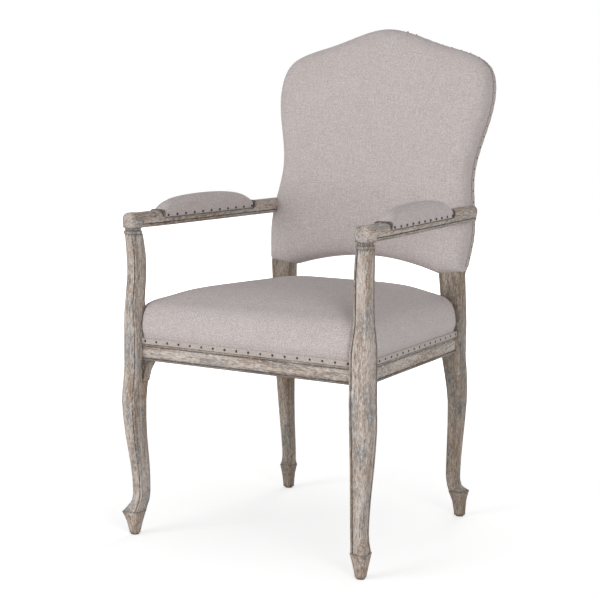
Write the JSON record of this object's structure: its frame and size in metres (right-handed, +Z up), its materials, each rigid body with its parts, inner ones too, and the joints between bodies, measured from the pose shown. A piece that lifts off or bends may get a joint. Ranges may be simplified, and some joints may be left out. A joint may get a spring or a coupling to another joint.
{
  "type": "dining armchair",
  "caption": "Upholstered dining armchair with a limed oak frame, cabriole front legs, open padded arms, a deep cushioned seat and a camel-topped padded back.",
  "frame": {"origin": "on the floor, under the middle of the chair's outline", "axes": "+Z up, the chair faces -Y, +X to the right as seen from the front"},
  "size_m": [0.5962, 0.6201, 1.0697],
  "materials": {
    "limed_oak": "matt, limed",
    "screw_steel": "zinc plated",
    "foam": "open cell",
    "linen": "plain weave",
    "gimp_trim": "woven braid",
    "nail_metal": "dark antique",
    "webbing": "jute weave",
    "dust_cloth": "non-woven",
    "glide_plastic": "matt"
  },
  "bodies": {
    "root": {"front_leg_left": "limed_oak", "front_leg_right": "limed_oak", "rear_leg_left": "limed_oak", "rear_leg_right": "limed_oak", "front_seat_rail": "limed_oak", "rear_seat_rail": "limed_oak", "left_seat_rail": "limed_oak", "right_seat_rail": "limed_oak", "lower_back_rail": "limed_oak", "crest_rail": "limed_oak", "arm_left": "limed_oak", "arm_right": "limed_oak", "back_dowels": "limed_oak", "corner_blocks": "limed_oak", "arm_screws": "screw_steel", "corner_block_screws": "screw_steel", "seat_foam": "foam", "back_foam": "foam", "arm_pad_foam_left": "foam", "arm_pad_foam_right": "foam", "seat_cover": "linen", "back_cover": "linen", "outside_back_panel": "linen", "arm_pad_cover_left": "linen", "arm_pad_cover_right": "linen", "seat_trim": "gimp_trim", "back_trim": "gimp_trim", "seat_nails": "nail_metal", "back_nails": "nail_metal", "arm_pad_nails_left": "nail_metal", "arm_pad_nails_right": "nail_metal", "seat_webbing": "webbing", "back_webbing": "webbing", "seat_dust_cover": "dust_cloth", "floor_glides": "glide_plastic"}
  },
  "joints": []
}
